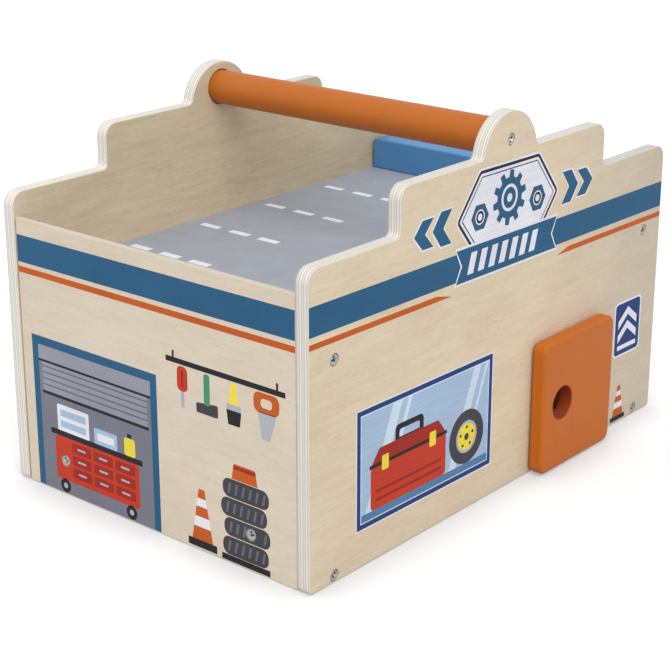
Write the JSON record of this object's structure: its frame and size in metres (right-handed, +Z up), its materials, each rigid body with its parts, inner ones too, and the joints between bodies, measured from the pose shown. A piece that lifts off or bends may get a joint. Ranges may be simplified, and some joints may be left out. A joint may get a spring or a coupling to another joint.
{
  "type": "toy parking garage with lift",
  "caption": "Plywood toy garage case with stepped side walls, a dowel carrying handle, a roof parking deck, a hinged side door and a hand lift.",
  "frame": {"origin": "middle of the underside, midway between the side panels and between front and back", "axes": "+X to the panel with the side door, +Y to the open back, +Z up"},
  "size_m": [0.232, 0.33, 0.2195],
  "materials": {
    "birch_plywood": "fine sanded, clear satin",
    "orange_paint": "painted satin",
    "blue_paint": "painted satin",
    "grey_paint": "painted satin",
    "zinc_steel": "zinc plated"
  },
  "bodies": {
    "garage": {"side_panel_left": "birch_plywood", "side_panel_right": "birch_plywood", "base_board": "birch_plywood", "front_wall": "birch_plywood", "front_batten": "birch_plywood", "lift_rail_front": "birch_plywood", "lift_rail_back": "birch_plywood", "lift_cover_front": "birch_plywood", "lift_cover_back": "birch_plywood", "lift_stop_front": "birch_plywood", "lift_stop_back": "birch_plywood", "carry_handle": "orange_paint", "rear_kerb": "blue_paint", "roof_deck": "grey_paint", "deck_screw_left_front": "zinc_steel", "deck_screw_left_back": "zinc_steel", "deck_screw_right_front": "zinc_steel", "deck_screw_right_back": "zinc_steel", "base_screw_left_front": "zinc_steel", "base_screw_left_back": "zinc_steel", "base_screw_right_front": "zinc_steel", "base_screw_right_back": "zinc_steel", "handle_screw_left": "zinc_steel", "handle_screw_right": "zinc_steel", "wall_screw_left": "zinc_steel", "wall_screw_right": "zinc_steel", "kerb_screw_left": "zinc_steel", "kerb_screw_right": "zinc_steel", "hinge_leaf_panel": "zinc_steel", "hinge_pin": "zinc_steel", "hinge_screw_panel_lower": "zinc_steel", "hinge_screw_panel_upper": "zinc_steel"},
    "door": {"side_door": "orange_paint", "hinge_leaf_door": "zinc_steel", "hinge_screw_door_lower": "zinc_steel", "hinge_screw_door_upper": "zinc_steel"},
    "lift": {"lift_board": "birch_plywood", "lift_platform": "grey_paint", "lift_gusset_front": "orange_paint", "lift_gusset_back": "orange_paint"}
  },
  "joints": [
    {"name": "door_swing", "type": "hinge", "parent": "garage", "child": "door", "pos_m": [0.113, 0.1026, 0.0408], "axis": [0, 0, 1], "range_deg": [0, 90]},
    {"name": "lift_slide", "type": "slide", "parent": "garage", "child": "lift", "axis": [0, 0, 1], "range_m": [0, 0.1107]}
  ]
}
